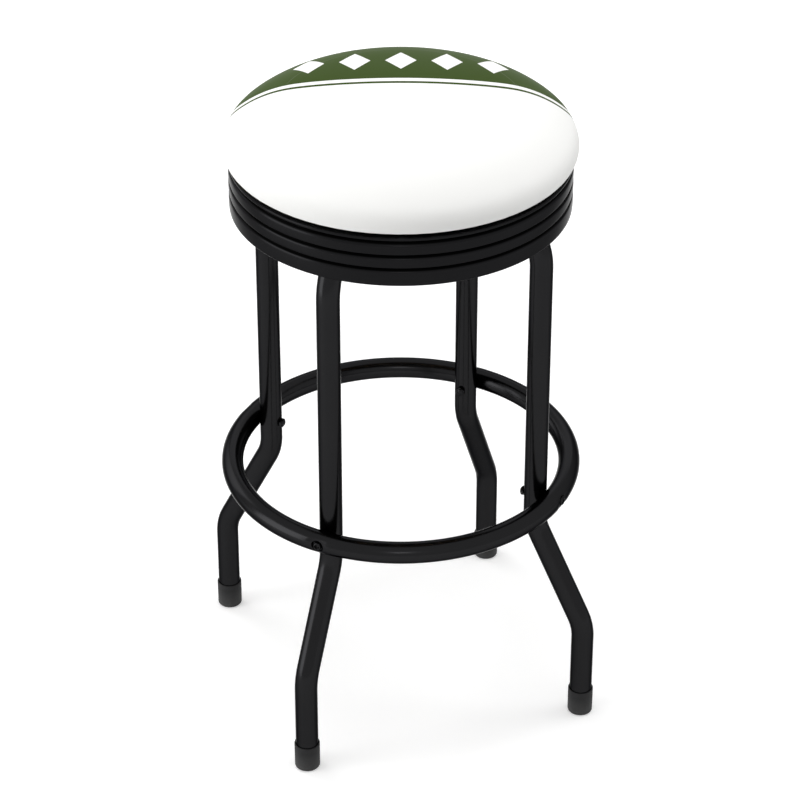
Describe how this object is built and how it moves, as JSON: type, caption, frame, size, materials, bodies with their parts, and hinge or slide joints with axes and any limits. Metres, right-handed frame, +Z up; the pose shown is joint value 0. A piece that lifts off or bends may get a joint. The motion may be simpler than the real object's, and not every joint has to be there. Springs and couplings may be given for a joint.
{
  "type": "swivel bar stool",
  "caption": "Backless bar stool with a round padded swivel seat, ribbed trim band, bent tube legs and a foot ring.",
  "frame": {"origin": "on the floor under the centre of the seat", "axes": "+Z up along the swivel axis; the legs stand on the diagonals between +X and +Y"},
  "size_m": [0.4052, 0.4052, 0.7366],
  "materials": {
    "black_steel": "gloss black coat on steel",
    "foot_rubber": "matte moulded rubber",
    "zinc_steel": "dull zinc plate",
    "ball_steel": "polished",
    "plywood": "raw plywood",
    "seat_foam": "open cell foam",
    "seat_vinyl": "smooth white vinyl with an olive green print"
  },
  "bodies": {
    "stand": {"leg_frame_lower": "black_steel", "leg_frame_upper": "black_steel", "foot_caps": "foot_rubber", "foot_ring": "black_steel", "ring_bolts": "black_steel", "ring_acorn_nuts": "black_steel", "swivel_lower_plate": "zinc_steel", "swivel_studs": "zinc_steel", "stud_washers": "zinc_steel", "stud_nuts": "zinc_steel", "swivel_pivot": "zinc_steel"},
    "ball_ring": {"swivel_balls": "ball_steel"},
    "seat": {"swivel_upper_plate": "zinc_steel", "board_screws": "zinc_steel", "seat_board": "plywood", "seat_foam": "seat_foam", "seat_cover": "seat_vinyl", "cover_staples": "zinc_steel", "trim_band": "black_steel", "band_screws": "zinc_steel"}
  },
  "joints": [
    {"name": "seat_swivel", "type": "hinge", "parent": "stand", "child": "seat", "pos_m": [0, 0, 0.6633], "axis": [0, 0, 1], "continuous": true},
    {"name": "ball_ring_roll", "type": "hinge", "parent": "stand", "child": "ball_ring", "pos_m": [0, 0, 0.6633], "axis": [0, 0, 1], "continuous": true}
  ],
  "couplings": [
    {"joint": "ball_ring_roll", "follows": "seat_swivel", "ratio": 0.5}
  ]
}
